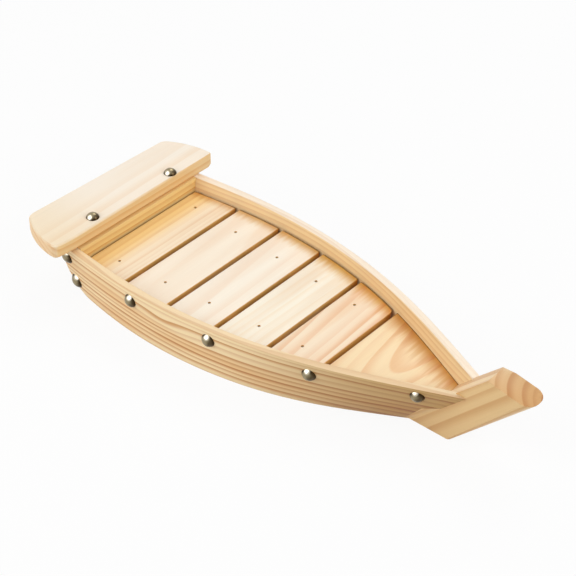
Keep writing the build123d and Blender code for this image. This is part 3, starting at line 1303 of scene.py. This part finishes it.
@dataclass
class Grating:
    """The five slats on their two battens, which lift out together."""

    slats: tuple[str, ...] = ("slat_1", "slat_2", "slat_3", "slat_4", "slat_5")
    battens: tuple[str, ...] = ("batten_port", "batten_starboard")

    def parts(self) -> Iterator[WoodenPart]:
        """Goes through the grating's pieces.

        Yields:
            Each piece, ready to build.
        """
        for node, finish in zip(self.slats, SLAT_PINES):
            yield WoodenPart(node, "deck_pine", finish, "grating")
        for node in self.battens:
            yield WoodenPart(node, "frame_pine", PORT_PINE, "grating")


@dataclass
class Fastenings:
    """The dome tacks of the hull and the brads of the grating."""

    board_tacks: str = "stern_board_tacks"
    transom_tacks: str = "transom_tacks"
    transom_head_share: float = 0.88
    side_tacks: str = "side_tacks"
    brads: str = "slat_brads"
    brad_sides: int = 16
    # Each finish gives its painted highlight, metal and painted dark reflection colours, then its
    # roughness.
    nickel: MetalFinish = MetalFinish(paint(222, 213, 193), paint(152, 139, 110), paint(58, 43, 24), 0.2)
    steel: MetalFinish = MetalFinish(
        paint(160, 150, 130), paint(140, 128, 108), paint(44, 34, 24), 0.35, dark_side_way=(-0.7, -0.5, 0.0)
    )

    def sets(self) -> Iterator[NailSet]:
        """Goes through the sets of nails.

        Yields:
            Each set, ready to build.
        """
        tree = NailTree()
        nickel = self.nickel.material("polished_nickel")
        steel = self.steel.material("brad_steel")
        yield NailSet(self.board_tacks, "tack_nickel", nickel, tree, lift=BOARD_FORM.lift)
        yield NailSet(self.transom_tacks, "tack_nickel", nickel, tree, head_share=self.transom_head_share)
        yield NailSet(self.side_tacks, "tack_nickel", nickel, tree)
        yield NailSet(self.brads, "brad_steel", steel, tree, "grating", self.brad_sides)


@dataclass(frozen=True)
class SoftLamp:
    """A square soft box that looks at the middle of the tray; metres and watts."""

    name: str
    towards: Triple
    distance: float
    size: float
    power: float

    def build(self, middle: Vector) -> None:
        """Hangs the lamp.

        Args:
            middle: The point that it looks at.
        """
        lamp = bpy.data.lights.new(self.name, "AREA")
        lamp.energy = self.power
        lamp.size = self.size
        hung = in_scene(self.name, lamp)
        way = Vector(self.towards).normalized()
        turn = way.to_track_quat("Z", "Y").to_matrix().to_4x4()
        hung.matrix_world = Matrix.Translation(middle + way * self.distance) @ turn


@dataclass
class Studio:
    """The pale floor, the white surroundings, the soft lamps and the camera; metres and degrees."""

    azimuth: float = 40.8447
    elevation: float = 37.8104
    distance: float = 1.3664
    target: Triple = (-0.02086, 0.01413, 0.03245)
    lens: float = 113.93
    sensor: float = 36.0
    nearest: float = 0.01
    floor_size: float = 6.0
    floor_white: float = 0.86
    floor_glow: float = 0.91
    sky: float = 0.38
    lamps: tuple[SoftLamp, ...] = (
        SoftLamp("key_lamp", (-0.35, -0.70, 0.62), 1.5, 1.4, 12.0),
        SoftLamp("back_lamp", (-0.20, 0.60, 0.78), 1.6, 0.9, 6.0),
        SoftLamp("bow_lamp", (0.80, 0.25, 0.55), 1.6, 0.9, 8.0),
    )

    def build(self) -> None:
        """Sets up floor, surroundings, lamps and camera."""
        scene = bpy.context.scene
        scene.view_settings.view_transform = "Standard"
        self._floor()
        self._surroundings(scene)
        for lamp in self.lamps:
            lamp.build(Vector(self.target))
        self._camera(scene)

    def _seen(self, nodes: Nodes) -> Term:
        """Tells what the camera sees, straight, mirrored or through glass, from what only lights.

        Args:
            nodes: The nodes of the floor or the surroundings.

        Returns:
            1 for what is seen and 0 for what only lights.
        """
        path = nodes.node("ShaderNodeLightPath")
        camera, glossy, glass = (
            nodes.out(path, name) for name in ("Is Camera Ray", "Is Glossy Ray", "Is Transmission Ray")
        )
        return camera.larger(glossy).larger(glass)

    def _floor(self) -> None:
        """Lays the floor, which keeps a soft shadow on white."""
        work = bmesh.new()
        bmesh.ops.create_grid(work, x_segments=1, y_segments=1, size=self.floor_size / 2.0)
        mesh = bpy.data.meshes.new("floor")
        work.to_mesh(mesh)
        work.free()
        floor = in_scene("floor", mesh)
        material = bpy.data.materials.new("floor_white")
        nodes = emptied_nodes(material)
        white = (self.floor_white, self.floor_white, self.floor_white, 1.0)
        matt = nodes.out(nodes.node("ShaderNodeBsdfDiffuse", None, {"Color": white}))
        glow = nodes.out(nodes.node("ShaderNodeEmission", None, {"Strength": 1.0}))
        share = self._seen(nodes) * self.floor_glow
        blend = nodes.node("ShaderNodeMixShader", None, {0: share, 1: matt, 2: glow})
        nodes.node("ShaderNodeOutputMaterial", None, {"Surface": nodes.out(blend)})
        mesh.materials.append(material)

    def _surroundings(self, scene: bpy.types.Scene) -> None:
        """Makes the surroundings white to look at and even to light by.

        Args:
            scene: The scene.
        """
        world = bpy.data.worlds.new("studio")
        nodes = emptied_nodes(world)
        strength = self.sky + (1.0 - self.sky) * self._seen(nodes)
        inputs = {"Color": (1.0, 1.0, 1.0, 1.0), "Strength": strength}
        shell = nodes.node("ShaderNodeBackground", None, inputs)
        nodes.node("ShaderNodeOutputWorld", None, {"Surface": nodes.out(shell)})
        scene.world = world

    def _camera(self, scene: bpy.types.Scene) -> None:
        """Points the camera from the photograph's side.

        Args:
            scene: The scene.
        """
        turn, tilt = math.radians(self.azimuth), math.radians(self.elevation)
        back = Vector((math.sin(turn) * math.cos(tilt), -math.cos(turn) * math.cos(tilt), math.sin(tilt)))
        right = Vector((math.cos(turn), math.sin(turn), 0.0))
        camera = bpy.data.cameras.new("camera")
        camera.lens = self.lens
        camera.sensor_width = self.sensor
        camera.clip_start = self.nearest
        held = in_scene("camera", camera)
        axes = Matrix((right, back.cross(right), back)).transposed().to_4x4()
        held.matrix_world = Matrix.Translation(Vector(self.target) + back * self.distance) @ axes
        scene.camera = held


def main() -> None:
    """Builds the tray piece by piece, then the studio round it."""
    logging.basicConfig(level=logging.INFO, format="%(message)s")
    for assembly in (Hull(), Grating()):
        for part in assembly.parts():
            LOG.info("%s: %d faces", part.node, len(part.build().data.polygons))
    for nails in Fastenings().sets():
        LOG.info("%s: %d faces", nails.node, len(nails.build().data.polygons))
    Studio().build()


if __name__ == "__main__":
    main()
